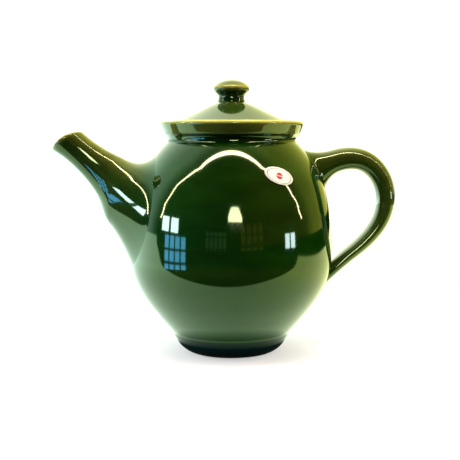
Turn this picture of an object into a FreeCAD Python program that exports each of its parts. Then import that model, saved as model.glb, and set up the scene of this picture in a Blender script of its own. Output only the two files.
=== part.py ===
import FreeCAD, Part
import math
import os

# A glazed stoneware teapot, in millimetres. +Z is up, the spout points to -X and the handle to +X.
# The origin is on the axis of the pot, on the surface that the foot stands on.
# The pot is thrown in one piece with its foot and the seat of its lid. The spout and the handle are
# made apart and luted to the wall, the knob is luted to the lid, and the lid lifts out of its seat.

Vec = FreeCAD.Vector
CENTRE = Vec(0, 0, 0)
UP = Vec(0, 0, 1)
ACROSS = Vec(0, 1, 0)

# Foot ring and floor
foot_radius = 39.6
foot_height = 10.5
foot_round = 11.0
foot_bulge = 0.3
foot_ledge = 0.9
foot_ring_width = 6.5
foot_recess = 5.0
floor_thickness = 6.0
floor_corner = 9.0

# Wall of the pot: it leaves the foot and the neck at these angles above the horizontal, and each pull
# says how far the curve keeps to its direction there
wall = 5.0
belly_radius = 70.5
belly_height = 67.0
neck_radius = 45.0
neck_height = 147.0
foot_angle = 52.0
foot_pull = 18.0
belly_pull_down = 24.0
belly_pull_up = 42.0
shoulder_angle = 45.0
shoulder_pull = 26.0

# Flared rim and the seat of the lid in it
rim_radius = 50.4
rim_height = 161.0
rim_lip = 4.0
rim_step = 2.4
rim_step_height = 4.6
seat_depth = 6.5
gallery_taper = 1.2

# Lid: a dome with a flat edge that lies on the seat, and a flange that hangs in the neck
lid_clearance = 0.8
lid_edge_thickness = 4.5
lid_edge_round = 1.2
dome_height = 17.0
dome_thickness = 5.0
dome_angle = 23.5
dome_pull_edge = 26.0
dome_pull_top = 9.0
flange_clearance = 0.8
flange_depth = 14.0
flange_thickness = 4.0
vent_radius = 2.0
vent_distance = 21.0

# Knob on the lid
knob_height = 13.6
knob_base_radius = 9.4
knob_waist_radius = 8.8
knob_waist_height = 1.8
knob_cap_radius = 12.5
knob_cap_height = 7.6
knob_waist_pull = 2.0
knob_lip_pull = 3.0
knob_crown_pull = 7.5

# Spout: its centre line from the wall to the lip, the half height of its ovals there, and the knee on
# its underside, whose place and length are shares of the way
spout_root_inset = 14.0
spout_root_rise = 30.0
spout_bend_reach = 5.0
spout_bend_rise = 50.0
spout_tip_reach = 49.0
spout_tip_drop = 7.5
spout_root_tilt = 13.0
spout_tip_tilt = 41.0
spout_tip_radius = 9.7
spout_flare = 36.0
spout_flare_exponent = 2.4
spout_lip_flare = 3.6
spout_lip_exponent = 12
spout_knee = 3.4
spout_knee_place = 0.39
spout_knee_length = 0.1
spout_root_ratio = 0.6
spout_wall = 3.6
spout_bore_flare = 31.0
spout_sections = 17
mouth_radius = 22.6
mouth_inset = 16.7
mouth_drop = 22.2

# Strainer: holes through the wall of the pot behind the spout
strainer_hole_radius = 2.8
strainer_pitch = 9.5
strainer_ring_holes = 6

# Handle: control points of its centre line, and its ovals at the top and at the tail
handle_root_inset = 18.0
handle_root_height = 122.5
handle_arch_reach = 9.5
handle_arch_height = 141.5
handle_shoulder_reach = 40.0
handle_shoulder_height = 130.5
handle_bow_reach = 44.0
handle_bow_height = 88.5
handle_tail_reach = 15.0
handle_tail_height = 66.5
handle_end_inset = 9.0
handle_end_height = 51.5
handle_thickness = 17.0
handle_width = 20.0
handle_tail_thickness = 8.0
handle_tail_width = 17.0
handle_root_flare = 22.0
handle_tail_flare = 8.0
handle_sections = 13

# Oval paper label on the shoulder
label_length = 21.0
label_breadth = 12.6
label_thickness = 0.2
label_level = 125.0
label_bearing = 24.5
label_tilt = -20.0

# Points on each oval of the spout and the handle
OVAL_POINTS = 12


def at(radius, height):
    """A point of an outline in the XZ plane."""
    return Vec(radius, 0, height)


def slope(angle, length=1.0):
    """A step of that length, at that angle in degrees above +X."""
    turn = math.radians(angle)
    return at(length * math.cos(turn), length * math.sin(turn))


def line(start, end):
    return Part.LineSegment(start, end).toShape()


def chain(*points):
    """Straight edges from point to point."""
    return [line(start, end) for start, end in zip(points, points[1:])]


def bezier(*poles):
    curve = Part.BezierCurve()
    curve.setPoles(list(poles))
    return curve.toShape()


def quarter(start, corner, end):
    """A quarter circle from start to end, tangent to the two lines that meet in corner."""
    centre = start + end - corner
    middle = centre + (corner - centre) * math.sqrt(0.5)
    return Part.Arc(start, middle, end).toShape()


def spin(edges):
    """Turns a closed outline about the axis of the pot."""
    outline = Part.Wire(Part.__sortEdges__(edges))
    return Part.Face(outline).revolve(CENTRE, UP, 360)


def wall_curves(inset):
    """The line of the wall from the foot up to the belly and from there to the neck, moved in by inset."""
    foot = at(foot_radius - foot_ledge, foot_height) + slope(foot_angle + 90, inset)
    belly = at(belly_radius - inset, belly_height)
    neck = at(neck_radius, neck_height) + slope(270 - shoulder_angle, inset)
    lower = bezier(foot, foot + slope(foot_angle, foot_pull), belly - at(0, belly_pull_down), belly)
    upper = bezier(belly, belly + at(0, belly_pull_up), neck + slope(-shoulder_angle, shoulder_pull), neck)
    return lower, upper


def start_of(edge):
    return edge.valueAt(edge.FirstParameter)


def end_of(edge):
    return edge.valueAt(edge.LastParameter)


def radius_at(edge, height):
    """The radius of a rising outline at that height."""
    low = edge.FirstParameter
    high = edge.LastParameter
    for _ in range(40):
        middle = (low + high) / 2
        if edge.valueAt(middle).z < height:
            low = middle
        else:
            high = middle
    return edge.valueAt(low).x


def pot_form():
    """The outside of the wall as a filled solid, which the spout, the handle and the label meet."""
    lower, upper = wall_curves(0.0)
    foot = start_of(lower)
    neck = end_of(upper)
    return spin([lower, upper] + chain(neck, at(0, neck.z), at(0, foot.z), foot))


def foot_outline():
    """From the axis under the floor, round the foot ring, to the start of the wall."""
    rest_outer = foot_radius - foot_round
    rest_inner = rest_outer - foot_ring_width
    ledge = at(foot_radius, foot_height - foot_ledge)
    wall_start = at(foot_radius - foot_ledge, foot_height)
    upper_edge = quarter(ledge, at(foot_radius, foot_height), wall_start)
    bulge = at(foot_radius - foot_round * foot_bulge, ledge.z * foot_bulge)
    lower_edge = bezier(at(rest_outer, 0), bulge, ledge)
    inside = chain(at(0, foot_recess), at(rest_inner, foot_recess), at(rest_inner, 0), at(rest_outer, 0))
    return inside + [lower_edge, upper_edge]


def neck_bore():
    return neck_radius - wall


def seat_height():
    return rim_height - seat_depth


def seat_radius():
    """The inside of the rim at the level of the seat."""
    return rim_radius - rim_lip - gallery_taper


def rim_outline():
    """From the neck, up the flared rim and over its lip, down to the seat and into the neck."""
    neck = at(neck_radius, neck_height)
    step = at(neck_radius + rim_step, neck_height + rim_step_height)
    half_lip = rim_lip / 2
    shoulder = at(rim_radius, rim_height - half_lip)
    top = at(rim_radius - half_lip, rim_height)
    inner = at(rim_radius - rim_lip, rim_height - half_lip)
    cove = bezier(neck, at(neck_radius, neck_height + rim_step_height), step)
    outer_round = quarter(shoulder, at(rim_radius, rim_height), top)
    inner_round = quarter(top, at(rim_radius - rim_lip, rim_height), inner)
    gallery = chain(
        inner,
        at(seat_radius(), seat_height()),
        at(neck_bore(), seat_height()),
        at(neck_bore(), neck_height),
    )
    return [cove, line(step, shoulder), outer_round, inner_round] + gallery


def hollow_outline():
    """From the bore of the neck, down the inside of the wall, to the axis on the floor."""
    lower, upper = wall_curves(wall)
    wall_foot = start_of(lower)
    floor = foot_recess + floor_thickness
    corner = at(wall_foot.x - (wall_foot.z - floor) / math.tan(math.radians(foot_angle)), floor)
    floor_edge = corner - at(floor_corner, 0)
    throat = line(end_of(upper), at(neck_bore(), neck_height))
    return [throat, upper, lower, bezier(wall_foot, corner, floor_edge), line(floor_edge, at(0, floor))]


def strainer_holes():
    """A middle hole and a ring of holes, bored from the root of the spout into the pot."""
    start = spout_centre(0.0) - slope(180 - spout_root_tilt, wall * 4)
    ahead = slope(180 - spout_root_tilt)
    rise = slope(90 - spout_root_tilt)
    spots = [CENTRE]
    for i in range(strainer_ring_holes):
        turn = 2 * math.pi * i / strainer_ring_holes
        spots.append((rise * math.sin(turn) + ACROSS * math.cos(turn)) * strainer_pitch)
    return [Part.makeCylinder(strainer_hole_radius, wall * 12, start + spot, ahead) for spot in spots]


def body():
    lower, upper = wall_curves(0.0)
    under_floor = line(at(0, foot_recess), at(0, foot_recess + floor_thickness))
    outline = foot_outline() + [lower, upper] + rim_outline() + hollow_outline() + [under_floor]
    return spin(outline).cut(strainer_holes())


def oval(centre, direction, half_width, half_height):
    """A closed oval across a direction in the XZ plane, half_width along Y."""
    rise = direction.cross(ACROSS)
    points = []
    for i in range(OVAL_POINTS):
        turn = 2 * math.pi * i / OVAL_POINTS
        points.append(centre + ACROSS * (half_width * math.cos(turn)) + rise * (half_height * math.sin(turn)))
    curve = Part.BSplineCurve()
    curve.interpolate(points, PeriodicFlag=True)
    return Part.Wire(curve.toShape())


def spout_centre(share):
    """The centre line of the spout at a share of its way from the root to the lip."""
    root = at(-(belly_radius - spout_root_inset), belly_height + spout_root_rise)
    bend = at(-(belly_radius + spout_bend_reach), belly_height + spout_bend_rise)
    tip = at(-(belly_radius + spout_tip_reach), rim_height - spout_tip_drop)
    rest = 1 - share
    return root * rest**2 + bend * (2 * rest * share) + tip * share**2


def spout_tube(narrower, flare):
    """The spout as a filled form: a tapering tube with a knee that flares to its root and at its lip."""
    wires = []
    for i in range(spout_sections):
        share = i / (spout_sections - 1)
        rest = 1 - share
        tilt = spout_tip_tilt - (spout_tip_tilt - spout_root_tilt) * rest**2
        lip = spout_lip_flare * share**spout_lip_exponent
        knee = spout_knee * math.exp(-(((share - spout_knee_place) / spout_knee_length) ** 2))
        half_height = spout_tip_radius + lip + knee / 2 + flare * rest**spout_flare_exponent - narrower
        half_width = half_height * (1 - (1 - spout_root_ratio) * rest)
        centre = spout_centre(share) - slope(90 - tilt, knee / 2)
        wires.append(oval(centre, slope(180 - tilt), half_width, half_height))
    return Part.makeLoft(wires, True, False)


def spout():
    """The tube with its bore, fitted to the wall and cut round at the lip, lowest where it pours."""
    tip = spout_centre(1.0)
    outside = spout_tube(0.0, spout_flare)
    bore = spout_tube(spout_wall, spout_bore_flare)
    cutter_centre = tip + Vec(mouth_inset, -belly_radius, -mouth_drop)
    kept = Part.makeCylinder(mouth_radius, 2 * belly_radius, cutter_centre, ACROSS)
    beyond = Part.makeBox(belly_radius, 2 * belly_radius, belly_radius)
    beyond.translate(cutter_centre - Vec(belly_radius, 0, 0))
    return outside.cut([bore, pot_form(), beyond.cut(kept)])


def handle_path():
    poles = [
        at(belly_radius - handle_root_inset, handle_root_height),
        at(belly_radius + handle_arch_reach, handle_arch_height),
        at(belly_radius + handle_shoulder_reach, handle_shoulder_height),
        at(belly_radius + handle_bow_reach, handle_bow_height),
        at(belly_radius + handle_tail_reach, handle_tail_height),
        at(belly_radius - handle_end_inset, handle_end_height),
    ]
    curve = Part.BSplineCurve()
    curve.buildFromPoles(poles, False, 3)
    return curve


def handle():
    """A pulled strap of oval section, thick at its root and thin at its tail, pressed on at both ends."""
    path = handle_path()
    wires = []
    for i in range(handle_sections):
        share = i / (handle_sections - 1)
        rest = 1 - share
        thickness = handle_thickness * rest + handle_tail_thickness * share
        thickness += handle_root_flare * rest**12 + handle_tail_flare * share**12
        width = handle_width * rest + handle_tail_width * share
        place = path.parameterAtDistance(share * path.length(), path.FirstParameter)
        along = path.tangent(place)[0]
        wires.append(oval(path.value(place), along, width / 2, thickness / 2))
    return Part.makeLoft(wires, True, False).cut(pot_form())


def lid_radius():
    return seat_radius() - lid_clearance


def dome_curve():
    """The line of the dome from its edge to the axis."""
    edge = at(lid_radius() - lid_edge_round, seat_height() + lid_edge_thickness)
    top = at(0, seat_height() + lid_edge_thickness + dome_height)
    return bezier(edge, edge + slope(180 - dome_angle, dome_pull_edge), top + at(dome_pull_top, 0), top)


def lid():
    seat = seat_height()
    edge_top = seat + lid_edge_thickness
    outer = lid_radius()
    flange_outer = neck_bore() - flange_clearance
    flange_inner = flange_outer - flange_thickness
    flange_foot = seat - flange_depth
    dome = dome_curve()
    round_end = at(outer - lid_edge_round, edge_top)
    edge = quarter(at(outer, edge_top - lid_edge_round), at(outer, edge_top), round_end)
    under_top = end_of(dome) - at(0, dome_thickness)
    hollow_edge = at(flange_inner, seat)
    under_rise = hollow_edge + at(0, lid_edge_thickness)
    under = bezier(hollow_edge, under_rise, under_top + at(flange_inner / 2, 0), under_top)
    rim = chain(
        hollow_edge,
        at(flange_inner, flange_foot),
        at(flange_outer, flange_foot),
        at(flange_outer, seat),
        at(outer, seat),
        at(outer, edge_top - lid_edge_round),
    )
    solid = spin([dome, edge] + rim + [under, line(under_top, end_of(dome))])
    vent = Part.makeCylinder(vent_radius, rim_height, Vec(0, vent_distance, seat), UP)
    return solid.cut(vent)


def knob():
    """A thrown knob with a waist and a domed cap, standing on the dome of the lid."""
    dome = dome_curve()
    top = end_of(dome)
    waist = at(knob_waist_radius, top.z + knob_waist_height)
    cap = at(knob_cap_radius, top.z + knob_cap_height)
    crown = at(0, top.z + knob_height)
    foot = at(knob_base_radius, top.z - knob_cap_height)
    stem = bezier(foot, at(knob_base_radius, top.z - knob_waist_height), at(knob_waist_radius, top.z), waist)
    flare = bezier(waist, waist + at(0, knob_waist_pull), cap - at(0, knob_lip_pull), cap)
    crest = bezier(cap, cap + at(0, knob_lip_pull), crown + at(knob_crown_pull, 0), crown)
    form = spin([stem, flare, crest] + chain(crown, at(0, foot.z), foot))
    edge = start_of(dome)
    dome_form = spin([dome] + chain(top, at(0, seat_height()), at(edge.x, seat_height()), edge))
    return form.cut(dome_form)


def label():
    """A thin oval that follows the curve of the shoulder."""
    upper = wall_curves(0.0)[1]
    foot = start_of(upper)
    neck = end_of(upper)
    outside = upper.translated(at(label_thickness, 0))
    closing = [line(foot, start_of(outside)), line(neck, end_of(outside))]
    skin = spin([upper, outside] + closing)
    bearing = math.radians(label_bearing)
    radius = radius_at(upper, label_level)
    out = Vec(math.sin(bearing), -math.cos(bearing), 0)
    spot = out * radius + UP * label_level
    ellipse = Part.Ellipse(CENTRE, label_length / 2, label_breadth / 2)
    punch = Part.Face(Part.Wire(ellipse.toShape())).extrude(UP * (label_length * 2))
    punch.translate(Vec(0, 0, -label_length))
    punch.rotate(CENTRE, UP, label_tilt)
    facing = FreeCAD.Rotation(UP.cross(out), UP, out, "ZXY")
    punch.Placement = FreeCAD.Placement(spot, facing).multiply(punch.Placement)
    return skin.common(punch)


def main():
    os.makedirs("parts", exist_ok=True)
    for make in (body, spout, handle, lid, knob, label):
        shape = make()
        shape.exportStep(f"parts/{make.__name__}.step")
        print(make.__name__, len(shape.Solids), shape.isValid(), round(shape.Volume / 1000, 2), "cm3")


main()
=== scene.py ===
import math

import bpy
import numpy as np
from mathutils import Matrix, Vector, noise


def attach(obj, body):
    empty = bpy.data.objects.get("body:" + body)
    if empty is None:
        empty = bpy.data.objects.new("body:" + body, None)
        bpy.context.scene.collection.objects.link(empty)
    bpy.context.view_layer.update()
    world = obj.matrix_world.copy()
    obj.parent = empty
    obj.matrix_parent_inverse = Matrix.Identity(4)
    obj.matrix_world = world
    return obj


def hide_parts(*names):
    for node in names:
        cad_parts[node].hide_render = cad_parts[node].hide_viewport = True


# A teapot of green glazed stoneware, on a white floor at the mouth of a light tent
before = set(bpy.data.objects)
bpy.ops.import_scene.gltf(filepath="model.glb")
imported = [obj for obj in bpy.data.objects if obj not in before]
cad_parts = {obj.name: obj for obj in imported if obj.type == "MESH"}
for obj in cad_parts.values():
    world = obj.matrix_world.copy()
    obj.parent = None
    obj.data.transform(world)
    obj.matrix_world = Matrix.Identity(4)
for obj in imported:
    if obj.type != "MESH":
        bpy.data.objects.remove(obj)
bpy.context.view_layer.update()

# Sizes are in millimetres and angles in degrees, as in the CAD part. Meshes are made in metres.
MM = 0.001

# Fineness of the meshes
TURNS = 192
SIDES = 72
HOLE_SIDES = 32
POT_SPACING = 0.7
LID_SPACING = 0.6
KNOB_SPACING = 0.35
TINY = 1e-9

# Foot and base of the pot
FOOT_RADIUS = 39.6
FOOT_HEIGHT = 10.5
FOOT_ROUND = 11.0
FOOT_SWELL = (37.6, 2.6)
FOOT_LEDGE = 0.9
FOOT_EDGE = 13.5
FOOT_RING_WIDTH = 6.5
FOOT_RECESS = 5.0
BASE_THICKNESS = 6.0
BASE_CORNER = 9.0

# Wall of the pot: two curves that meet at the belly
WALL = 5.0
BELLY_RADIUS = 70.5
BELLY_HEIGHT = 67.0
NECK_RADIUS = 45.0
NECK_HEIGHT = 147.0
FOOT_ANGLE = 52.0
FOOT_PULL = 18.0
BELLY_PULL_DOWN = 24.0
BELLY_PULL_UP = 42.0
SHOULDER_ANGLE = 45.0
SHOULDER_PULL = 26.0
LOWER_WALL_POINTS = 60
UPPER_WALL_POINTS = 80

# Throwing rings and patches of thicker glaze, which move the wall by a fraction of a millimetre
RING_DEPTH = 0.02
RING_RATE = 0.55
RING_DRIFT = 0.8
RING_DRIFT_RATE = 0.07
RING_SWELL_RATE = 0.045
PATCH_DEPTH = 0.16
PATCH_RATE_ROUND = 1.6
PATCH_RATE_UP = 0.035

# Rim of the pot and the seat of the lid
RIM_RADIUS = 50.4
RIM_HEIGHT = 161.0
RIM_LIP = 4.0
RIM_STEP = 2.4
RIM_STEP_HEIGHT = 4.6
SEAT_DEPTH = 6.5
SEAT_INSET = 1.2
SEAT_HEIGHT = RIM_HEIGHT - SEAT_DEPTH
SEAT_RADIUS = RIM_RADIUS - RIM_LIP - SEAT_INSET
NECK_BORE = NECK_RADIUS - WALL

# Lid
LID_GAP = 0.8
LID_RADIUS = SEAT_RADIUS - LID_GAP
LID_EDGE = 4.5
LID_EDGE_ROUND = 1.2
DOME_HEIGHT = 17.0
DOME_THICKNESS = 5.0
DOME_ANGLE = 23.5
DOME_PULL_EDGE = 26.0
DOME_PULL_TOP = 9.0
DOME_POINTS = 60
DOME_TOP = SEAT_HEIGHT + LID_EDGE + DOME_HEIGHT
FLANGE_THICKNESS = 4.0
FLANGE_OUTER = NECK_BORE - LID_GAP
FLANGE_INNER = FLANGE_OUTER - FLANGE_THICKNESS
FLANGE_DEPTH = 14.0
VENT_RADIUS = 2.0
VENT_DISTANCE = 21.0
VENT_CUT_LENGTH = 34.0

# Knob
KNOB_HEIGHT = 13.6
KNOB_BASE = 9.4
KNOB_BASE_PULL = 1.0
KNOB_WAIST = 8.8
KNOB_WAIST_HEIGHT = 1.8
KNOB_WAIST_PULL = 2.0
KNOB_CAP = 12.5
KNOB_CAP_HEIGHT = 7.6
KNOB_CAP_PULL_DOWN = 3.0
KNOB_CAP_PULL_UP = 2.0
KNOB_CROWN_PULL = 7.5

# Spout: centre line, thickness and the arc that cuts its lip
SPOUT_PATH = ((-56.5, 97.0), (-75.5, 117.0), (-119.5, 153.5))
SPOUT_ROOT_TILT = 13.0
SPOUT_TIP_TILT = 41.0
SPOUT_TIP_RADIUS = 9.7
SPOUT_FLARE = 36.0
SPOUT_FLARE_POWER = 2.4
SPOUT_LIP_FLARE = 3.6
SPOUT_LIP_POWER = 12
SPOUT_LIP_ROUND = 2.8
SPOUT_KNEE = 3.4
SPOUT_KNEE_PLACE = 0.39
SPOUT_KNEE_LENGTH = 0.1
SPOUT_NARROWING = 0.6
SPOUT_WALL = 3.6
MOUTH_CENTRE = (-102.8, 131.3)
MOUTH_RADIUS = 22.1
MOUTH_FIRST_SHARE = 0.5
MOUTH_ROUNDS = 30

# Root of the spout: where its sides leave the tube, and the oval on the wall where they run out
SPOUT_BLEND_LOW = 0.32
SPOUT_BLEND_HIGH = 0.56
SPOUT_BLEND_SIDE = 0.12
SPOUT_ROOT_LEVEL = 98.0
SPOUT_ROOT_HALF_HEIGHT = 42.0
SPOUT_ROOT_HALF_WIDTH = 40.0
SPOUT_ROOT_PULLS = (0.11, 1.0)
SPOUT_ROOT_RINGS = 28
SPOUT_OUTER_RINGS = 34
SPOUT_LIP_RINGS = 6
SPOUT_INNER_RINGS = 20

# Strainer: holes through the wall behind the spout
STRAINER_RADIUS = 2.8
STRAINER_PITCH = 9.5
STRAINER_RING_HOLES = 6
STRAINER_CUT_LENGTH = 40.0

# How the ends of the spout and the handle meet the wall
ROOT_SINK = 0.5
OVAL_INSIDE = 0.96
HEADING_STEP = 0.01

# Handle: control points of its centre line, its section, and the ovals on the wall at its two ends
HANDLE_PATH = ((52.5, 122.5), (80.0, 141.5), (110.5, 130.5), (114.5, 88.5), (85.5, 66.5), (61.5, 51.5))
HANDLE_DEGREE = 3
HANDLE_LINE_STEP = 0.002
HANDLE_THICKNESS = 17.0
HANDLE_WIDTH = 20.0
HANDLE_TAIL_THICKNESS = 8.0
HANDLE_TAIL_WIDTH = 17.0
HANDLE_SQUARING = 0.75
HANDLE_START = 0.10
HANDLE_END = 0.87
HANDLE_ROOT_LEVEL = 126.5
HANDLE_ROOT_HALF_HEIGHT = 16.5
HANDLE_ROOT_HALF_WIDTH = 13.5
HANDLE_ROOT_PULLS = (0.16, 0.5)
HANDLE_TAIL_LEVEL = 51.5
HANDLE_TAIL_HALF_HEIGHT = 10.0
HANDLE_TAIL_HALF_WIDTH = 11.5
HANDLE_TAIL_PULLS = (0.12, 0.6)
HANDLE_END_RINGS = 18
HANDLE_RINGS = 70

# Label: an oval on the shoulder, foreshortened in height by the slope of the wall
LABEL_LENGTH = 21.0
LABEL_BREADTH = 12.6
LABEL_LEVEL = 125.0
LABEL_SLOPE = 0.85
LABEL_BEARING = 24.5
LABEL_TILT = -20.0
LABEL_LIFT = 0.15
LABEL_EDGE_SINK = 0.05
LABEL_RINGS = 14

# How often the outlines are softened, because glaze fills corners
SOFT_ROUNDS = 2
KNOB_SOFT_ROUNDS = 3

# Where the glaze runs thin, from 0 for a thick coat to 1 for the palest edge
BEND_SPREAD = 3
BEND_GAIN = 2.2
BEND_BLUR = 5
POT_THIN = 0.12
POT_THIN_ABOVE = 15.75
RIM_THIN = 0.18
RIM_LIP_GLAZE = 3.2
RIM_LIP_GAIN = 1.6
LID_THIN = 0.5
LID_THIN_ALL_OVER = 0.02
KNOB_THIN = 0.12
KNOB_THIN_BELOW_CAP = 2.0
KNOB_LIP_THIN = 0.5
KNOB_LIP_RISE = 1.2
KNOB_LIP_SPREAD = 1.3
SPOUT_THIN = 0.03
# Along the top of the spout the pale colour is partly thin glaze and partly painted light from above
SPOUT_TOP_THIN_AND_LIGHT = 0.24
SPOUT_LIP_THIN = 0.8
SPOUT_LIP_SPREAD = 8
HANDLE_THIN = 0.04
HANDLE_OUTSIDE_THIN = 0.12

# Where the clay is left bare: under the foot ring, on the seat, and on the lid's flange and under its edge
RING_BARE_HEIGHT = 0.6
SEAT_BARE_HEIGHT = 0.5
LID_BARE_HEIGHT = 0.4
LID_BARE_INSET = 0.5


def curve(*poles, count=24):
    """Points of a Bezier curve."""
    points = np.array(poles, float)[:, None, :].repeat(count, axis=1)
    share = np.linspace(0, 1, count)[:, None]
    while len(points) > 1:
        points = points[:-1] * (1 - share) + points[1:] * share
    return points[0]


def step(angle, length):
    """A move of some length, at an angle from the level line."""
    turn = math.radians(angle)
    return np.array((math.cos(turn), math.sin(turn))) * length


def quarter(start, corner, end, count=10):
    """A quarter of an ellipse from start to end, which rounds off the corner."""
    start = np.array(start)
    end = np.array(end)
    centre = start + end - np.array(corner)
    turn = np.linspace(0, math.pi / 2, count)[:, None]
    return centre + (start - centre) * np.cos(turn) + (end - centre) * np.sin(turn)


def even(points, spacing):
    """The same outline with points at an even spacing."""
    gaps = np.linalg.norm(np.diff(points, axis=0), axis=1)
    apart = gaps > TINY
    points = points[np.concatenate(([True], apart))]
    along = np.concatenate(([0], np.cumsum(gaps[apart])))
    places = np.linspace(0, along[-1], round(along[-1] / spacing) + 1)
    return np.stack([np.interp(places, along, points[:, i]) for i in range(2)], axis=1)


def soften(points, rounds):
    """The same outline with softer corners: each point moves towards its neighbours, and the ends stay."""
    points = points.copy()
    for _ in range(rounds):
        points[1:-1] = points[1:-1] / 2 + (points[:-2] + points[2:]) / 4
    return points


def bend_of(points):
    """How convex an outline is at each point, as seen from outside, which is on its right."""
    first = points - np.roll(points, BEND_SPREAD, axis=0)
    second = np.roll(points, -BEND_SPREAD, axis=0) - points
    turn = first[:, 0] * second[:, 1] - first[:, 1] * second[:, 0]
    turn /= np.linalg.norm(first, axis=1) * np.linalg.norm(second, axis=1) + TINY
    turn[:BEND_SPREAD] = 0
    turn[-BEND_SPREAD:] = 0
    return turn


def thinness(outline):
    """Glaze runs thin where the outline is convex."""
    bend = np.clip(bend_of(outline) * BEND_GAIN, 0, 1)
    return np.convolve(bend, np.ones(BEND_BLUR) / BEND_BLUR, mode="same")


def add_values(mesh, name, values):
    """Gives each vertex a number, for the material to read."""
    layer = mesh.attributes.new(name, "FLOAT", "POINT")
    layer.data.foreach_set("value", np.array(values, np.float32))


def make_object(name, vertices, faces, thin, bare):
    mesh = bpy.data.meshes.new(name)
    mesh.from_pydata([tuple(v) for v in np.array(vertices) * MM], [], faces)
    mesh.update()
    add_values(mesh, "thin_glaze_and_painted_light", thin)
    add_values(mesh, "bare_clay", bare)
    mesh.polygons.foreach_set("use_smooth", np.ones(len(mesh.polygons), bool))
    piece = bpy.data.objects.new(name, mesh)
    bpy.context.scene.collection.objects.link(piece)
    return piece


def ring_faces(rings, sides):
    """Faces between rings of vertices that follow one another."""
    faces = []
    for i in range(rings - 1):
        low = i * sides
        high = low + sides
        for j in range(sides):
            k = (j + 1) % sides
            faces.append((low + j, low + k, high + k, high + j))
    return faces


def spin(name, outline, thin, bare, ripple=None):
    """Turns an outline that starts and ends on the axis. ripple(height, turn) moves a point out."""
    inner = outline[1:-1]
    vertices = []
    for radius, height in inner:
        for j in range(TURNS):
            turn = 2 * math.pi * j / TURNS
            reach = radius + ripple(height, turn) if ripple else radius
            vertices.append((reach * math.cos(turn), reach * math.sin(turn), height))
    faces = ring_faces(len(inner), TURNS)
    start_middle = len(vertices)
    end_middle = start_middle + 1
    vertices += [(0, 0, outline[0][1]), (0, 0, outline[-1][1])]
    last_ring = start_middle - TURNS
    around = [(j, (j + 1) % TURNS) for j in range(TURNS)]
    faces += [(start_middle, k, j) for j, k in around]
    faces += [(end_middle, last_ring + j, last_ring + k) for j, k in around]
    thin_everywhere = np.concatenate((np.repeat(thin[1:-1], TURNS), (0.0, 0.0)))
    bare_everywhere = np.concatenate((np.repeat(bare[1:-1], TURNS), (bare[1], bare[-2])))
    return make_object(name, vertices, faces, thin_everywhere, bare_everywhere)


def bore(piece, holes):
    """Cuts round holes, each given by its middle, direction, radius and length."""
    vertices = []
    faces = []
    turns = [2 * math.pi * i / HOLE_SIDES for i in range(HOLE_SIDES)]
    for middle, direction, radius, length in holes:
        turned = Vector(direction).to_track_quat("Z", "Y")
        first = len(vertices)
        for end in (-length / 2, length / 2):
            for turn in turns:
                spot = Vector((radius * math.cos(turn), radius * math.sin(turn), end))
                vertices.append((Vector(middle) + turned @ spot) * MM)
        faces.append(tuple(range(first + HOLE_SIDES - 1, first - 1, -1)))
        faces.append(tuple(range(first + HOLE_SIDES, first + 2 * HOLE_SIDES)))
        faces += [tuple(first + k for k in face) for face in ring_faces(2, HOLE_SIDES)]
    mesh = bpy.data.meshes.new("holes")
    mesh.from_pydata(vertices, [], faces)
    cutter = bpy.data.objects.new("holes", mesh)
    bpy.context.scene.collection.objects.link(cutter)
    cut = piece.modifiers.new("holes", "BOOLEAN")
    cut.operation = "DIFFERENCE"
    cut.object = cutter
    graph = bpy.context.evaluated_depsgraph_get()
    pierced = bpy.data.meshes.new_from_object(piece.evaluated_get(graph))
    piece.modifiers.clear()
    piece.data = pierced
    bpy.data.objects.remove(cutter)


# Pot

def wall_curve(inset):
    """The line of the wall from the foot to the neck, moved in by inset."""
    foot = np.array((FOOT_RADIUS - FOOT_LEDGE, FOOT_HEIGHT)) + step(FOOT_ANGLE + 90, inset)
    belly = np.array((BELLY_RADIUS - inset, BELLY_HEIGHT))
    neck = np.array((NECK_RADIUS, NECK_HEIGHT)) + step(270 - SHOULDER_ANGLE, inset)
    flank = foot + step(FOOT_ANGLE, FOOT_PULL)
    shoulder = neck + step(-SHOULDER_ANGLE, SHOULDER_PULL)
    lower = curve(foot, flank, belly - (0, BELLY_PULL_DOWN), belly, count=LOWER_WALL_POINTS)
    upper = curve(belly, belly + (0, BELLY_PULL_UP), shoulder, neck, count=UPPER_WALL_POINTS)
    return np.concatenate((lower, upper[1:]))


OUTER_WALL = wall_curve(0.0)


def wall_radius(height):
    return float(np.interp(height, OUTER_WALL[:, 1], OUTER_WALL[:, 0]))


def pot_ripple(height, turn):
    """Faint throwing rings and an uneven glaze, as a shift that stays inside the CAD wall."""
    drift = RING_DRIFT * math.sin(height * RING_DRIFT_RATE)
    rings = RING_DEPTH * math.sin(height * RING_RATE + drift) * math.sin(height * RING_SWELL_RATE)
    across = math.cos(turn) * PATCH_RATE_ROUND
    along = math.sin(turn) * PATCH_RATE_ROUND
    patch = PATCH_DEPTH * noise.noise(Vector((across, along, height * PATCH_RATE_UP)))
    return rings + patch - ROOT_SINK / 2


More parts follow.
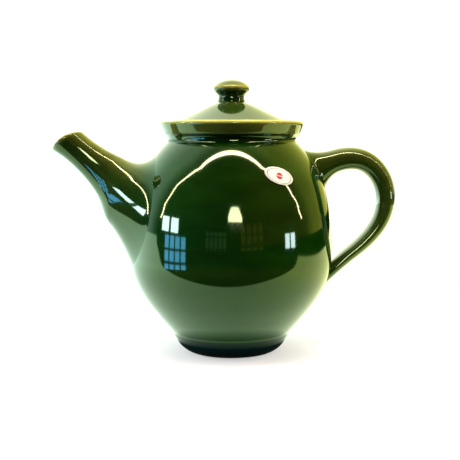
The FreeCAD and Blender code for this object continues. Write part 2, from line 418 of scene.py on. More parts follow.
def pot_outline():
    rest_outer = FOOT_RADIUS - FOOT_ROUND
    rest_inner = rest_outer - FOOT_RING_WIDTH
    wall = OUTER_WALL[OUTER_WALL[:, 1] > FOOT_EDGE]
    half_lip = RIM_LIP / 2
    shoulder = (RIM_RADIUS, RIM_HEIGHT - half_lip)
    top = (RIM_RADIUS - half_lip, RIM_HEIGHT)
    inner = (RIM_RADIUS - RIM_LIP, RIM_HEIGHT - half_lip)
    cove_end = (NECK_RADIUS + RIM_STEP, NECK_HEIGHT + RIM_STEP_HEIGHT)
    hollow = wall_curve(WALL)[::-1]
    floor = FOOT_RECESS + BASE_THICKNESS
    corner_shift = (hollow[-1][1] - floor) / math.tan(math.radians(FOOT_ANGLE))
    corner = (hollow[-1][0] - corner_shift, floor)
    return np.concatenate((
        [(0, FOOT_RECESS), (rest_inner, FOOT_RECESS), (rest_inner, 0)],
        curve((rest_outer, 0), FOOT_SWELL, wall[0]),
        wall[1:],
        curve((NECK_RADIUS, NECK_HEIGHT), (NECK_RADIUS, NECK_HEIGHT + RIM_STEP_HEIGHT), cove_end),
        quarter(shoulder, (RIM_RADIUS, RIM_HEIGHT), top),
        quarter(top, (RIM_RADIUS - RIM_LIP, RIM_HEIGHT), inner),
        [(SEAT_RADIUS, SEAT_HEIGHT), (NECK_BORE, SEAT_HEIGHT), (NECK_BORE, NECK_HEIGHT)],
        hollow,
        curve(hollow[-1], corner, (corner[0] - BASE_CORNER, floor)),
        [(0, floor)],
    ))


def strainer_holes():
    """A middle hole and a ring of holes through the wall behind the spout."""
    root_x, root_z = SPOUT_PATH[0]
    ahead = step(180 - SPOUT_ROOT_TILT, 1.0)
    rise = step(90 - SPOUT_ROOT_TILT, 1.0)
    spots = [(0.0, 0.0)]
    for i in range(STRAINER_RING_HOLES):
        turn = 2 * math.pi * i / STRAINER_RING_HOLES
        spots.append((STRAINER_PITCH * math.sin(turn), STRAINER_PITCH * math.cos(turn)))
    holes = []
    for up, across in spots:
        middle = (root_x + rise[0] * up, across, root_z + rise[1] * up)
        holes.append((middle, (ahead[0], 0, ahead[1]), STRAINER_RADIUS, STRAINER_CUT_LENGTH))
    return holes


def make_pot():
    outline = soften(even(pot_outline(), POT_SPACING), SOFT_ROUNDS)
    radius = outline[:, 0]
    height = outline[:, 1]
    on_ring = (height < RING_BARE_HEIGHT) & (radius < FOOT_RADIUS)
    on_seat = (abs(height - SEAT_HEIGHT) < SEAT_BARE_HEIGHT) & (radius < SEAT_RADIUS)
    on_rim = (height > NECK_HEIGHT + RIM_STEP_HEIGHT) & (radius > SEAT_RADIUS + RIM_LIP / 2)
    near_top = 1 + (height - RIM_HEIGHT) / RIM_LIP_GLAZE
    lip = np.clip(near_top * RIM_LIP_GAIN, 0, 1) * (radius > SEAT_RADIUS)
    edges = thinness(outline) * POT_THIN * (height > POT_THIN_ABOVE)
    thin = np.maximum.reduce((edges, lip, RIM_THIN * on_rim))
    pot = spin("pot", outline, thin, (on_ring | on_seat).astype(float), pot_ripple)
    bore(pot, strainer_holes())
    return pot


# Lid and knob

def dome_curve():
    edge = np.array((LID_RADIUS - LID_EDGE_ROUND, SEAT_HEIGHT + LID_EDGE))
    top = np.array((0, DOME_TOP))
    slope = edge + step(180 - DOME_ANGLE, DOME_PULL_EDGE)
    return curve(edge, slope, top + (DOME_PULL_TOP, 0), top, count=DOME_POINTS)


def lid_outline():
    edge_top = SEAT_HEIGHT + LID_EDGE
    foot = SEAT_HEIGHT - FLANGE_DEPTH
    under_top = np.array((0, DOME_TOP - DOME_THICKNESS))
    under_edge = np.array((FLANGE_INNER, SEAT_HEIGHT))
    edge_low = (LID_RADIUS, edge_top - LID_EDGE_ROUND)
    return np.concatenate((
        curve(under_top, under_top + (FLANGE_INNER / 2, 0), under_edge + (0, LID_EDGE), under_edge),
        [(FLANGE_INNER, foot), (FLANGE_OUTER, foot), (FLANGE_OUTER, SEAT_HEIGHT), (LID_RADIUS, SEAT_HEIGHT)],
        quarter(edge_low, (LID_RADIUS, edge_top), (LID_RADIUS - LID_EDGE_ROUND, edge_top)),
        dome_curve(),
    ))


def make_lid():
    outline = soften(even(lid_outline(), LID_SPACING), SOFT_ROUNDS)
    below_edge = outline[:, 1] < SEAT_HEIGHT + LID_BARE_HEIGHT
    outside = outline[:, 0] > FLANGE_INNER + LID_BARE_INSET
    thin = np.clip(thinness(outline) * LID_THIN + LID_THIN_ALL_OVER, 0, 1)
    lid = spin("lid_dome", outline, thin, (below_edge & outside).astype(float))
    bore(lid, [((0, VENT_DISTANCE, DOME_TOP - DOME_THICKNESS), (0, 0, 1), VENT_RADIUS, VENT_CUT_LENGTH)])
    return lid


def make_knob():
    dome = dome_curve()
    base_height = float(np.interp(-KNOB_BASE, -dome[:, 0], dome[:, 1]))
    base = np.array((KNOB_BASE, base_height))
    waist = np.array((KNOB_WAIST, DOME_TOP + KNOB_WAIST_HEIGHT))
    cap = np.array((KNOB_CAP, DOME_TOP + KNOB_CAP_HEIGHT))
    crown = np.array((0, DOME_TOP + KNOB_HEIGHT))
    outline = np.concatenate((
        [(0, base_height)],
        curve(base, base + (0, KNOB_BASE_PULL), waist - (0, KNOB_WAIST_HEIGHT), waist),
        curve(waist, waist + (0, KNOB_WAIST_PULL), cap - (0, KNOB_CAP_PULL_DOWN), cap),
        curve(cap, cap + (0, KNOB_CAP_PULL_UP), crown + (KNOB_CROWN_PULL, 0), crown),
    ))
    outline = soften(even(outline, KNOB_SPACING), KNOB_SOFT_ROUNDS)
    above_cap = outline[:, 1] - cap[1]
    lip = np.exp(-(((above_cap - KNOB_LIP_RISE) / KNOB_LIP_SPREAD) ** 2))
    thin = np.where(above_cap > -KNOB_THIN_BELOW_CAP, KNOB_THIN + KNOB_LIP_THIN * lip, 0.0)
    return spin("lid_knob", outline, thin, np.zeros(len(outline)))


# Spout and handle, which are rings of vertices on a centre line and run out into the wall
RING_TURN = np.linspace(0, 2 * math.pi, SIDES, endpoint=False)


def make_tube(name, rings, thin):
    faces = ring_faces(len(rings), SIDES)
    return make_object(name, np.concatenate(rings), faces, thin, np.zeros(len(thin)))


def oval_on_wall(level, half_height, half_width, side, share):
    """Points of an oval on the wall, on the +X or -X side, at a share of its size."""
    across = half_width * share * np.cos(RING_TURN)
    height = level + half_height * share * np.sin(RING_TURN)
    reach = np.array([wall_radius(z) for z in height]) - ROOT_SINK
    out = np.sqrt(reach**2 - across**2)
    return np.stack((side * out, across, height), axis=1)


def run_out(ring, heading, oval, count, pulls):
    """Rings from a free ring to an oval on the wall. They leave along heading and arrive along the wall."""
    end = oval_on_wall(*oval, 1.0)
    end_heading = (end - oval_on_wall(*oval, OVAL_INSIDE)) / (1 - OVAL_INSIDE)
    leave = pulls[0] * heading
    arrive = pulls[1] * end_heading
    rings = []
    for share in np.linspace(0, 1, count + 1)[1:]:
        near_end = 3 * share**2 - 2 * share**3
        leaving = share**3 - 2 * share**2 + share
        arriving = share**3 - share**2
        rings.append((1 - near_end) * ring + leaving * leave + near_end * end + arriving * arrive)
    return rings


def spout_ring(share, narrower):
    """A ring of the bare spout; share may differ from side to side of the ring."""
    share = np.broadcast_to(share, (SIDES,))
    rest = 1 - share
    root, bend, tip = (np.array(point) for point in SPOUT_PATH)
    centre = root * (rest**2)[:, None] + bend * (2 * rest * share)[:, None] + tip * (share**2)[:, None]
    tilt = np.radians(SPOUT_TIP_TILT - (SPOUT_TIP_TILT - SPOUT_ROOT_TILT) * rest**2)
    knee = SPOUT_KNEE * np.exp(-(((share - SPOUT_KNEE_PLACE) / SPOUT_KNEE_LENGTH) ** 2))
    size = SPOUT_TIP_RADIUS + SPOUT_LIP_FLARE * share**SPOUT_LIP_POWER + knee / 2 - narrower
    size = size + SPOUT_FLARE * rest**SPOUT_FLARE_POWER
    width = size * (1 - (1 - SPOUT_NARROWING) * rest)
    rise = size * np.sin(RING_TURN) - knee / 2
    return np.stack((
        centre[:, 0] + rise * np.sin(tilt),
        width * np.cos(RING_TURN),
        centre[:, 1] + rise * np.cos(tilt),
    ), axis=1)


def mouth_shares(narrower):
    """For each side of the ring, how far along the spout its lip is cut."""
    low = np.full(SIDES, MOUTH_FIRST_SHARE)
    high = np.full(SIDES, 1.0)
    for _ in range(MOUTH_ROUNDS):
        middle = (low + high) / 2
        point = spout_ring(middle, narrower)
        reach = np.hypot(point[:, 0] - MOUTH_CENTRE[0], point[:, 2] - MOUTH_CENTRE[1])
        beyond = (reach > MOUTH_RADIUS) & (point[:, 0] < MOUTH_CENTRE[0])
        high = np.where(beyond, middle, high)
        low = np.where(beyond, low, middle)
    return low


def lip_rings(before, outer, inner):
    """Rings that round the lip over from the outer ring to the inner one."""
    beyond = outer - before
    beyond = beyond / np.linalg.norm(beyond, axis=1)[:, None]
    shares = np.linspace(0, 1, SPOUT_LIP_RINGS + 2)[1:-1]
    bulges = SPOUT_LIP_ROUND * shares * (1 - shares)
    return [outer * (1 - s) + inner * s + beyond * bulge for s, bulge in zip(shares, bulges)]


def spout_thinness_and_light(place, lip_place):
    """How pale the glaze is round one ring of the spout: thin on its lip, and paler along its top, partly
    thin glaze and partly painted light from above.
    """
    from_lip = abs(place - lip_place + SPOUT_LIP_RINGS / 2)
    near_lip = max(0.0, SPOUT_LIP_THIN - from_lip / SPOUT_LIP_SPREAD)
    off_wall = min(1.0, place / SPOUT_ROOT_RINGS)
    on_top = np.clip(np.sin(RING_TURN), 0, 1) ** 2
    return np.maximum(near_lip, (SPOUT_THIN + SPOUT_TOP_THIN_AND_LIGHT * on_top) * off_wall)


def make_spout():
    outer_end = mouth_shares(0.0)
    inner_end = mouth_shares(SPOUT_WALL)
    upward = np.sin(RING_TURN)
    start = SPOUT_BLEND_LOW + (SPOUT_BLEND_HIGH - SPOUT_BLEND_LOW) * (upward + 1) / 2
    start = start + SPOUT_BLEND_SIDE * (1 - upward**2)
    first = spout_ring(start, 0.0)
    heading = (spout_ring(start - HEADING_STEP, 0.0) - first) / HEADING_STEP
    oval = (SPOUT_ROOT_LEVEL, SPOUT_ROOT_HALF_HEIGHT, SPOUT_ROOT_HALF_WIDTH, -1)
    rings = run_out(first, heading, oval, SPOUT_ROOT_RINGS, SPOUT_ROOT_PULLS)[::-1]
    for share in np.linspace(0, 1, SPOUT_OUTER_RINGS):
        rings.append(spout_ring(start + (outer_end - start) * share, 0.0))
    rings += lip_rings(rings[-2], rings[-1], spout_ring(inner_end, SPOUT_WALL))
    lip_place = len(rings)
    for share in np.linspace(1, 0, SPOUT_INNER_RINGS):
        rings.append(spout_ring(start + (inner_end - start) * share, SPOUT_WALL))
    thin = [spout_thinness_and_light(place, lip_place) for place in range(len(rings))]
    return make_tube("spout_tube", rings[::-1], np.concatenate(thin[::-1]))


def handle_point(share):
    """The centre line of the handle: an even spline with its ends on the first and last point."""
    poles = np.array(HANDLE_PATH)
    spans = len(poles) - HANDLE_DEGREE
    knots = np.clip(np.arange(-HANDLE_DEGREE, spans + HANDLE_DEGREE + 1), 0, spans)
    place = min(share * spans, spans - TINY)
    first = int(place)
    points = list(poles[first:first + HANDLE_DEGREE + 1])
    for level in range(1, HANDLE_DEGREE + 1):
        for i in range(HANDLE_DEGREE, level - 1, -1):
            low = knots[first + i]
            high = knots[first + i + HANDLE_DEGREE - level + 1]
            weight = (place - low) / (high - low)
            points[i] = points[i - 1] * (1 - weight) + points[i] * weight
    return points[-1]


def handle_section():
    """How far each side of a ring lies across and outwards: an oval, squarer on the side of the fingers."""
    across = np.cos(RING_TURN)
    outward = np.sin(RING_TURN)
    power = np.where(outward < 0, HANDLE_SQUARING, 1.0)
    return np.sign(across) * np.abs(across) ** power, np.sign(outward) * np.abs(outward) ** power


def handle_ring(share):
    centre = handle_point(share)
    along = handle_point(share + HANDLE_LINE_STEP) - handle_point(share - HANDLE_LINE_STEP)
    along /= np.linalg.norm(along)
    thickness = HANDLE_THICKNESS * (1 - share) + HANDLE_TAIL_THICKNESS * share
    width = HANDLE_WIDTH * (1 - share) + HANDLE_TAIL_WIDTH * share
    across, outward = handle_section()
    rise = thickness / 2 * outward
    return np.stack((
        centre[0] - along[1] * rise,
        width / 2 * across,
        centre[1] + along[0] * rise,
    ), axis=1)


def flipped(ring):
    """The same ring, counted the other way round."""
    return np.roll(ring[::-1], 1, axis=0)


def make_handle():
    first = handle_ring(HANDLE_START)
    last = handle_ring(HANDLE_END)
    away = (handle_ring(HANDLE_START - HEADING_STEP) - first) / HEADING_STEP
    onward = (handle_ring(HANDLE_END + HEADING_STEP) - last) / HEADING_STEP
    root = (HANDLE_ROOT_LEVEL, HANDLE_ROOT_HALF_HEIGHT, HANDLE_ROOT_HALF_WIDTH, 1)
    tail = (HANDLE_TAIL_LEVEL, HANDLE_TAIL_HALF_HEIGHT, HANDLE_TAIL_HALF_WIDTH, 1)
    rings = run_out(first, away, root, HANDLE_END_RINGS, HANDLE_ROOT_PULLS)[::-1]
    for share in np.linspace(HANDLE_START, HANDLE_END, HANDLE_RINGS):
        rings.append(handle_ring(share))
    for ring in run_out(flipped(last), flipped(onward), tail, HANDLE_END_RINGS, HANDLE_TAIL_PULLS):
        rings.append(flipped(ring))
    places = np.arange(len(rings))
    off_wall = np.clip(np.minimum(places, places[::-1]) / HANDLE_END_RINGS, 0, 1)
    outside = np.clip(handle_section()[1], 0, 1)
    thin = np.outer(off_wall, HANDLE_THIN + HANDLE_OUTSIDE_THIN * outside).ravel()
    return make_tube("handle_strap", rings, thin)


def make_label():
    """An oval of paper on the shoulder. Its last ring dips into the glaze, so that the paper has an edge."""
    bearing = math.radians(LABEL_BEARING)
    tilt = math.radians(LABEL_TILT)
    vertices = []
    spots = []
    for i in range(LABEL_RINGS, -1, -1):
        size = min(i, LABEL_RINGS - 1) / (LABEL_RINGS - 1)
        lift = LABEL_LIFT if i < LABEL_RINGS else -LABEL_EDGE_SINK
        for turn in RING_TURN:
            spots += [size * math.cos(turn), size * math.sin(turn), 0.0]
            along = LABEL_LENGTH / 2 * size * math.cos(turn)
            up = LABEL_BREADTH / 2 * size * math.sin(turn)
            side = along * math.cos(tilt) - up * math.sin(tilt)
            height = LABEL_LEVEL + (along * math.sin(tilt) + up * math.cos(tilt)) * LABEL_SLOPE
            reach = wall_radius(height)
            angle = bearing + side / reach
            reach += lift + pot_ripple(height, angle - math.pi / 2)
            vertices.append((reach * math.sin(angle), -reach * math.cos(angle), height))
    unmarked = np.zeros(len(vertices))
    piece = make_object("label_paper", vertices, ring_faces(LABEL_RINGS + 1, SIDES), unmarked, unmarked)
    layer = piece.data.attributes.new("label_spot", "FLOAT_VECTOR", "POINT")
    layer.data.foreach_set("vector", np.array(spots, np.float32))
    return piece


# Materials

class Shading:
    """The nodes of a material or of the world."""

    def __init__(self, tree):
        self.nodes = tree.nodes
        self.links = tree.links

    def feed(self, socket, value):
        """Links a socket to another node's output, or gives it a plain value."""
        if isinstance(value, bpy.types.NodeSocket):
            self.links.new(value, socket)
        else:
            socket.default_value = value

    def add(self, kind, inputs, **settings):
        """Adds a node with its settings and inputs, and returns its outputs."""
        node = self.nodes.new("ShaderNode" + kind)
        for name, value in settings.items():
            setattr(node, name, value)
        for key, value in inputs.items():
            self.feed(node.inputs[key], value)
        return node.outputs

    def math(self, operation, first, second=0.0):
        """One sum or comparison of two values."""
        return self.add("Math", {0: first, 1: second}, operation=operation)["Value"]

    def length(self, vector):
        return self.add("VectorMath", {0: vector}, operation="LENGTH")["Value"]

    def fade(self, value, start, end, low=0.0, high=1.0, shape="LINEAR"):
        """Goes from low to high while value goes from start to end."""
        inputs = {"Value": value, "From Min": start, "From Max": end, "To Min": low, "To Max": high}
        return self.add("MapRange", inputs, interpolation_type=shape)["Result"]

    def mix(self, factor, first, second):
        """Goes from the first colour to the second."""
        return self.add("Mix", {"Factor": factor, "A": first, "B": second}, data_type="RGBA")["Result"]

    def ramp(self, value, stops, shape="LINEAR"):
        """Goes through the colours of the stops, each given as a place and a colour."""
        node = self.nodes.new("ShaderNodeValToRGB")
        self.feed(node.inputs["Fac"], value)
        node.color_ramp.interpolation = shape
        for end in (0, -1):
            element = node.color_ramp.elements[end]
            element.position, element.color = stops[end]
        for place, colour in stops[1:-1]:
            node.color_ramp.elements.new(place).color = colour
        return node.outputs["Color"]

    def attribute(self, name, output="Fac"):
        """What make_object or make_label marked on the vertices."""
        return self.add("Attribute", {}, attribute_name=name)[output]


def new_material(name):
    material = bpy.data.materials.new(name)
    material.use_nodes = True
    return material, Shading(material.node_tree)


# Glaze and clay. Colours are red, green, blue and cover.
GLAZE_ROUGHNESS = 0.06
GLAZE_IOR = 1.52
GLAZE_SHINE = 0.5
GLAZE_TINT = (0.72, 1.0, 0.55, 1)
GLAZE_GREENS = ((0.3, (0.0006, 0.012, 0.0005, 1)), (0.75, (0.0018, 0.024, 0.0008, 1)))
GLAZE_OLIVE = (0.44, 0.44, 0.085, 1)
MOTTLE_RATE = (28, 28, 90)
MOTTLE_SCALE = 1.0
MOTTLE_DETAIL = 5.0
MOTTLE_RANGE = (0.35, 0.65)
OLIVE_RANGE = (0.65, 1.1)
# Painted shade on the foot: a dark colour with little shine
FOOT_PAINTED_SHADE_COLOUR = (0.001, 0.007, 0.009, 1)
FOOT_PAINTED_SHADE_SHINE = 0.16
CLAY_COLOUR = (0.42, 0.31, 0.20, 1)
CLAY_ROUGHNESS = 0.8


def glaze_material():
    """Deep green glaze, mottled and olive where it is thin. The foot is painted dark with little shine:
    painted shade. The underside of its ring, the seat, the lid's flange and the underside of the lid's edge
    are bare clay."""
    material, shading = new_material("green_glaze")
    inputs = shading.nodes["Principled BSDF"].inputs
    place = shading.add("TexCoord", {})["Object"]
    height = shading.add("SeparateXYZ", {"Vector": place})["Z"]
    on_foot = shading.math("LESS_THAN", height, FOOT_EDGE * MM)
    bare = shading.attribute("bare_clay")
    streak = shading.add("VectorMath", {0: place, 1: MOTTLE_RATE}, operation="MULTIPLY")["Vector"]
    grain = {"Vector": streak, "Scale": MOTTLE_SCALE, "Detail": MOTTLE_DETAIL}
    mottle = shading.add("TexNoise", grain)["Fac"]
    uneven = shading.fade(mottle, *MOTTLE_RANGE, *OLIVE_RANGE)
    # Olive where the glaze is thin; along the top of the spout it is also painted light from above
    thin = shading.math("MULTIPLY", shading.attribute("thin_glaze_and_painted_light"), uneven)
    colour = shading.mix(thin, shading.ramp(mottle, GLAZE_GREENS), GLAZE_OLIVE)
    # Painted shade: the foot is painted dark
    colour = shading.mix(on_foot, colour, FOOT_PAINTED_SHADE_COLOUR)
    colour = shading.mix(bare, colour, CLAY_COLOUR)
    shading.feed(inputs["Base Color"], colour)
    shading.feed(inputs["Roughness"], shading.fade(bare, 0, 1, GLAZE_ROUGHNESS, CLAY_ROUGHNESS))
    shading.feed(inputs["Specular IOR Level"], shading.fade(on_foot, 0, 1, GLAZE_SHINE, FOOT_PAINTED_SHADE_SHINE))
    shading.feed(inputs["Specular Tint"], GLAZE_TINT)
    shading.feed(inputs["IOR"], GLAZE_IOR)
    return material


# Paper of the label, with places as shares of half its size
PAPER_COLOUR = (0.66, 0.69, 0.68, 1)
PAPER_ROUGHNESS = 0.5
PAPER_SHINE = 0.1
BORDER_COLOUR = (0.22, 0.25, 0.24, 1)
BORDER_INNER = 0.80
BORDER_OUTER = 0.86
LEAF_COLOUR = (0.60, 0.015, 0.02, 1)
LEAF_LENGTH = 0.27
LEAF_BREADTH = 0.40
LEAF_RIB = 0.05


def paper_material():
    """White paper with a thin border line and a small generic leaf."""
    material, shading = new_material("label_paper")
    inputs = shading.nodes["Principled BSDF"].inputs
    spot = shading.attribute("label_spot", "Vector")
    border = ((0.0, PAPER_COLOUR), (BORDER_INNER, BORDER_COLOUR), (BORDER_OUTER, PAPER_COLOUR))
    paper = shading.ramp(shading.length(spot), border, "CONSTANT")
    parts = shading.add("SeparateXYZ", {"Vector": spot})
    along = shading.math("DIVIDE", parts["X"], LEAF_LENGTH)
    aside = shading.math("ABSOLUTE", parts["Y"])
    taper = shading.math("SUBTRACT", 1.0, shading.math("MULTIPLY", along, along))
    inside = shading.math("LESS_THAN", aside, shading.math("MULTIPLY", taper, LEAF_BREADTH))
    off_rib = shading.math("GREATER_THAN", aside, LEAF_RIB)
    leaf = shading.math("MULTIPLY", inside, off_rib)
    shading.feed(inputs["Base Color"], shading.mix(leaf, paper, LEAF_COLOUR))
    shading.feed(inputs["Roughness"], PAPER_ROUGHNESS)
    shading.feed(inputs["Specular IOR Level"], PAPER_SHINE)
    return material


def dress(piece, body, node, material):
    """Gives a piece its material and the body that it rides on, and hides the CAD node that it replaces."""
    piece.data.materials.append(material)
    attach(piece, body)
    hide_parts(node)


# Backdrop, and the places of the tones that run from left to right over the floor, the tent and the room
WHITE = (1, 1, 1, 1)
TONE_MIDDLE = 0.5
TONE_RIGHT = 0.78

# Floor, in metres: lit inside the tent, dark in front of it and under the foot
FLOOR_SIZE = 12
FLOOR_COLOUR = (0.80, 0.88, 0.96, 1)
FLOOR_ROUGHNESS = 0.9
FLOOR_DARK = 0.018
FLOOR_FRONT = -0.134
FLOOR_FRONT_BLUR = 0.006
FLOOR_TURN = 0.17
FLOOR_SIDE = 0.71
FLOOR_TONE_REACH = 0.4
FLOOR_LEFT = (2.8, 3.8, 3.2, 1)
FLOOR_MIDDLE = (1.45, 1.75, 1.4, 1)
FLOOR_RIGHT = (2.5, 2.6, 1.1, 1)
CONTACT_INNER = 0.0405
CONTACT_OUTER = 0.049
SHADOW_INNER = 0.14
SHADOW_OUTER = 0.34
SHADOW_LIFT = 0.5


def three_tones(shading, sideways, left, middle, right):
    """Goes from left to right by way of a middle colour."""
    return shading.ramp(sideways, ((0.0, left), (TONE_MIDDLE, middle), (TONE_RIGHT, right)))


def floor_material():
    """The camera sees a white floor that takes the soft shadow of the pot and runs out into the backdrop.
    The glaze mirrors a tinted one, which ends at the mouth of the tent."""
    material, shading = new_material("floor_white")
    shader = shading.nodes["Principled BSDF"]
    shading.feed(shader.inputs["Base Color"], FLOOR_COLOUR)
    shading.feed(shader.inputs["Roughness"], FLOOR_ROUGHNESS)
    shading.feed(shader.inputs["Specular IOR Level"], 0.0)
    place = shading.add("TexCoord", {})["Object"]
    parts = shading.add("SeparateXYZ", {"Vector": place})
    reach = shading.length(place)
    seen = shading.add("LightPath", {})["Is Camera Ray"]
    mirrored = shading.math("SUBTRACT", 1.0, seen)

    depth = shading.math("ADD", parts["Y"], shading.math("MULTIPLY", parts["X"], FLOOR_TURN))
    front = shading.fade(depth, FLOOR_FRONT - FLOOR_FRONT_BLUR, FLOOR_FRONT, FLOOR_DARK, shape="SMOOTHSTEP")
    contact = shading.fade(reach, CONTACT_INNER, CONTACT_OUTER, FLOOR_DARK)
    within = shading.math("LESS_THAN", parts["X"], FLOOR_SIDE)
    lit = shading.math("MULTIPLY", shading.math("MULTIPLY", front, contact), within)
    strength = shading.math("MAXIMUM", seen, shading.math("MULTIPLY", lit, mirrored))
    sideways = shading.fade(parts["X"], -FLOOR_TONE_REACH, FLOOR_TONE_REACH)
    tint = three_tones(shading, sideways, FLOOR_LEFT, FLOOR_MIDDLE, FLOOR_RIGHT)
    colour = shading.mix(seen, tint, WHITE)
    glow = shading.add("Emission", {"Color": colour, "Strength": strength})["Emission"]

    shadow = shading.fade(reach, SHADOW_INNER, SHADOW_OUTER, SHADOW_LIFT, shape="SMOOTHSTEP")
    share = shading.math("MAXIMUM", shadow, mirrored)
    floor = shading.add("MixShader", {0: share, 1: shader.outputs["BSDF"], 2: glow})["Shader"]
    shading.feed(shading.nodes["Material Output"].inputs["Surface"], floor)
    return material


def make_floor():
    bpy.ops.mesh.primitive_plane_add(size=FLOOR_SIZE, location=(0, 0, 0))
    floor = bpy.context.object
    floor.name = "floor"
    floor.data.materials.append(floor_material())


# Tent behind the pot, strip of lamps round its mouth, and dark room in front, all seen as directions
TENT_LEAN = 0.44
TENT_FOOT = 0.01
TENT_ROOF = 0.86
TENT_ROOF_LEAN = 0.66
TENT_TURN = 0.11
TENT_EDGE = 0.35
TENT_GLOW = 1.4
TENT_LEFT = (0.75, 1.15, 1.05, 1)
TENT_MIDDLE = (1.05, 1.08, 0.75, 1)
TENT_RIGHT = (0.5, 0.54, 0.08, 1)
BACK_START = 0.5
BACK_END = 1.2
BACK_GLOW = 1.3
STRIP_GLOW = 60.0
STRIP_COLOUR = (1.0, 0.72, 0.62, 1)
STRIP_BREADTH = 0.01
STRIP_TOP_BREADTH = 0.028
STRIP_TOP_POWER = 4.0
STRIP_LOWEST = 0.1
HALO_BREADTH = 0.1
HALO_GLOW = 1.4
ROOM_LEFT = (0.0, 0.1, 0.09, 1)
ROOM_MIDDLE = (0.03, 0.02, 0.0, 1)
ROOM_RIGHT = (0.2, 0.06, 0.02, 1)


def tent_depth(shading, parts, aloft):
    """How far a direction points into the tent. The mouth leans forward as it rises, and back at the roof."""
    wall = shading.math("SUBTRACT", shading.math("MULTIPLY", aloft, TENT_LEAN), TENT_FOOT)
    roof = shading.math("SUBTRACT", TENT_ROOF, shading.math("MULTIPLY", aloft, TENT_ROOF_LEAN))
    turned = shading.math("MULTIPLY", parts["X"], TENT_TURN)
    lean = shading.math("ADD", shading.math("MINIMUM", wall, roof), turned)
    return shading.math("ADD", lean, parts["Y"])


def background(shading, colour, strength=1.0):
    return shading.add("Background", {"Color": colour, "Strength": strength})["Background"]


def make_world():
    """White to the camera. The pot stands at the mouth of a white light tent: the tent is above and behind,
    a strip of lamps runs round its mouth, and the room in front is dark."""
    world = bpy.data.worlds.new("studio")
    bpy.context.scene.world = world
    world.use_nodes = True
    world.node_tree.nodes.remove(world.node_tree.nodes["Background"])
    shading = Shading(world.node_tree)
    parts = shading.add("SeparateXYZ", {"Vector": shading.add("TexCoord", {})["Generated"]})
    aloft = shading.math("MAXIMUM", parts["Z"], 0.0)
    depth = tent_depth(shading, parts, aloft)
    sideways = shading.fade(parts["X"], -1.0, 1.0)

    from_strip = shading.math("ABSOLUTE", depth)
    at_top = shading.math("POWER", aloft, STRIP_TOP_POWER)
    wider = shading.math("MULTIPLY", at_top, STRIP_TOP_BREADTH)
    on_strip = shading.math("LESS_THAN", from_strip, shading.math("ADD", wider, STRIP_BREADTH))
    high = shading.math("GREATER_THAN", parts["Z"], STRIP_LOWEST)
    lit = shading.math("MULTIPLY", on_strip, high)
    strip = background(shading, STRIP_COLOUR, shading.math("MULTIPLY", lit, STRIP_GLOW))

    tent = shading.fade(depth, 0.0, TENT_EDGE, 0.0, TENT_GLOW, "SMOOTHSTEP")
    back = shading.fade(depth, BACK_START, BACK_END, 0.0, BACK_GLOW)
    halo = shading.fade(from_strip, 0.0, HALO_BREADTH, HALO_GLOW, 0.0, "SMOOTHSTEP")
    haze = shading.math("MULTIPLY", halo, at_top)
    glow = shading.math("ADD", shading.math("ADD", tent, back), haze)
    cloth = background(shading, three_tones(shading, sideways, TENT_LEFT, TENT_MIDDLE, TENT_RIGHT), glow)

    room = background(shading, three_tones(shading, sideways, ROOM_LEFT, ROOM_MIDDLE, ROOM_RIGHT))
    around = shading.add("AddShader", {0: cloth, 1: room})["Shader"]
    mirrored = shading.add("AddShader", {0: around, 1: strip})["Shader"]
    seen = shading.add("LightPath", {})["Is Camera Ray"]
    choice = shading.add("MixShader", {0: seen, 1: mirrored, 2: background(shading, WHITE)})["Shader"]
    shading.feed(shading.nodes["World Output"].inputs["Surface"], choice)


# Lamps, and the shapes of the room, which only show as reflections
POT_MIDDLE = Vector((0, 0, 0.1))
PANE_GAP = 0.12
SHADE_POINTS = 33
SHADE_SQUARING = 0.6


def facing_pot(place, axis):
    """The turn that points an axis of something at this place to the middle of the pot."""
    return (POT_MIDDLE - Vector(place)).to_track_quat(axis, "Y").to_euler()


def make_lamp(name, place, size, power, colour):
    lamp = bpy.data.lights.new(name, "AREA")
    lamp.color = colour
    lamp.shape = "RECTANGLE"
    lamp.size, lamp.size_y = size
    lamp.energy = power
    holder = bpy.data.objects.new(name, lamp)
    holder.visible_glossy = False
    holder.location = place
    holder.rotation_euler = facing_pot(place, "-Z")
    bpy.context.scene.collection.objects.link(holder)


def glow_material(name, colour, strength):
    material, shading = new_material(name)
    shading.nodes.remove(shading.nodes["Principled BSDF"])
    glow = shading.add("Emission", {"Color": colour, "Strength": strength})["Emission"]
    shading.feed(shading.nodes["Material Output"].inputs["Surface"], glow)
    return material


def make_glow(name, vertices, faces, place, size, colour, strength):
    """A flat shape of the room in front. It only shows as a reflection."""
    mesh = bpy.data.meshes.new(name)
    mesh.from_pydata(vertices, [], faces)
    mesh.materials.append(glow_material(name, colour, strength))
    glow = bpy.data.objects.new(name, mesh)
    bpy.context.scene.collection.objects.link(glow)
    glow.location = place
    glow.scale = (size[0], size[1], 1)
    glow.rotation_euler = facing_pot(place, "Z")
    glow.visible_camera = False
    glow.visible_diffuse = False
    glow.visible_shadow = False


def make_panes(name, grid, **glow):
    """A window with bars between its columns and rows of panes."""
    columns, rows = grid
    vertices = []
    faces = []
    for column in range(columns):
        for row in range(rows):
            left = (column + PANE_GAP) / columns - 0.5
            right = (column + 1 - PANE_GAP) / columns - 0.5
            low = (row + PANE_GAP) / rows - 0.5
            top = (row + 1 - PANE_GAP) / rows - 0.5
            first = len(vertices)
            vertices += [(left, low, 0), (right, low, 0), (right, top, 0), (left, top, 0)]
            faces.append(tuple(range(first, first + 4)))
    make_glow(name, vertices, faces, **glow)


def make_shade(name, **glow):
    """A domed lampshade."""
    turns = np.linspace(0, math.pi, SHADE_POINTS)
    across = np.sign(np.cos(turns)) * np.abs(np.cos(turns)) ** SHADE_SQUARING / 2
    rise = np.abs(np.sin(turns)) ** SHADE_SQUARING - 0.5
    vertices = [(x, y, 0) for x, y in zip(across, rise)]
    make_glow(name, vertices, [tuple(range(SHADE_POINTS))], **glow)


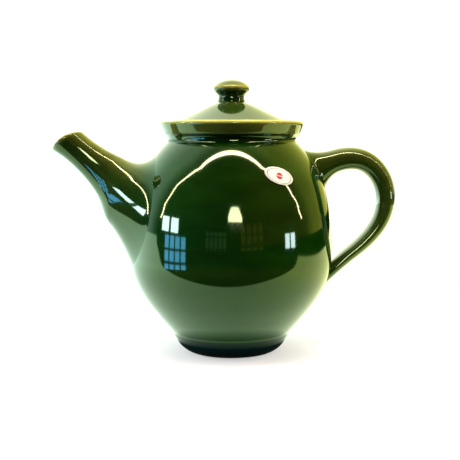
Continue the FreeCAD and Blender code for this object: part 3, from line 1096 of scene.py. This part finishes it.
def make_room():
    make_lamp("overhead", place=(0, 0.1, 0.9), size=(1.0, 1.0), power=6.0, colour=(1, 1, 1))
    make_lamp("left", place=(-0.8, -0.1, 0.45), size=(0.5, 0.7), power=2.5, colour=(0.8, 1, 1))
    make_lamp("right", place=(0.8, -0.1, 0.45), size=(0.5, 0.7), power=2.5, colour=(1, 0.96, 0.82))
    make_panes("window_left", grid=(2, 1), place=(-1.47, -0.32, 0.235), size=(0.68, 0.2),
               colour=(0.62, 0.66, 1, 1), strength=38.0)
    make_panes("window_on_table", grid=(4, 3), place=(-0.30, -0.14, 0.05), size=(0.16, 0.09),
               colour=(0.1, 0.34, 0.9, 1), strength=16.0)
    make_panes("window_right", grid=(2, 1), place=(1.36, -0.74, 0.07), size=(0.40, 0.22),
               colour=(0.62, 0.62, 1, 1), strength=30.0)
    make_panes("cupboard", grid=(4, 3), place=(0.55, -1.9, 0.16), size=(0.9, 0.5),
               colour=(0.6, 0.42, 0.1, 1), strength=0.8)
    make_panes("bookshelf", grid=(5, 3), place=(-0.75, -1.8, 0.1), size=(0.8, 0.42),
               colour=(0.25, 0.45, 0.3, 1), strength=1.0)
    make_shade("room_lamp", place=(-0.06, -1.95, 0.58), size=(0.52, 0.32),
               colour=(1, 0.86, 0.78, 1), strength=34.0)


# Camera, in metres, radians and millimetres of film
CAMERA_DISTANCE = 0.620
CAMERA_HEIGHT = 0.146
CAMERA_BEARING = math.radians(6.0)
CAMERA_PITCH = 0.098
CAMERA_FILM = 36.0
CAMERA_LENS = 69.3
CAMERA_SHIFT_PIXELS = -1.3
PHOTO_PIXELS = 460


def make_camera():
    camera = bpy.data.cameras.new("camera")
    camera.sensor_width = CAMERA_FILM
    camera.lens = CAMERA_LENS
    camera.shift_x = CAMERA_SHIFT_PIXELS / PHOTO_PIXELS
    across = -CAMERA_DISTANCE * math.sin(CAMERA_BEARING)
    back = -CAMERA_DISTANCE * math.cos(CAMERA_BEARING)
    holder = bpy.data.objects.new("camera", camera)
    holder.location = (across, back, CAMERA_HEIGHT)
    holder.rotation_euler = (math.pi / 2 - CAMERA_PITCH, 0, -CAMERA_BEARING)
    bpy.context.scene.collection.objects.link(holder)
    bpy.context.scene.camera = holder


glaze = glaze_material()
dress(make_pot(), "pot", "body", glaze)
dress(make_spout(), "pot", "spout", glaze)
dress(make_handle(), "pot", "handle", glaze)
dress(make_lid(), "lid", "lid", glaze)
dress(make_knob(), "lid", "knob", glaze)
dress(make_label(), "pot", "label", paper_material())
make_floor()
make_world()
make_room()
make_camera()
bpy.context.scene.view_settings.view_transform = "Standard"
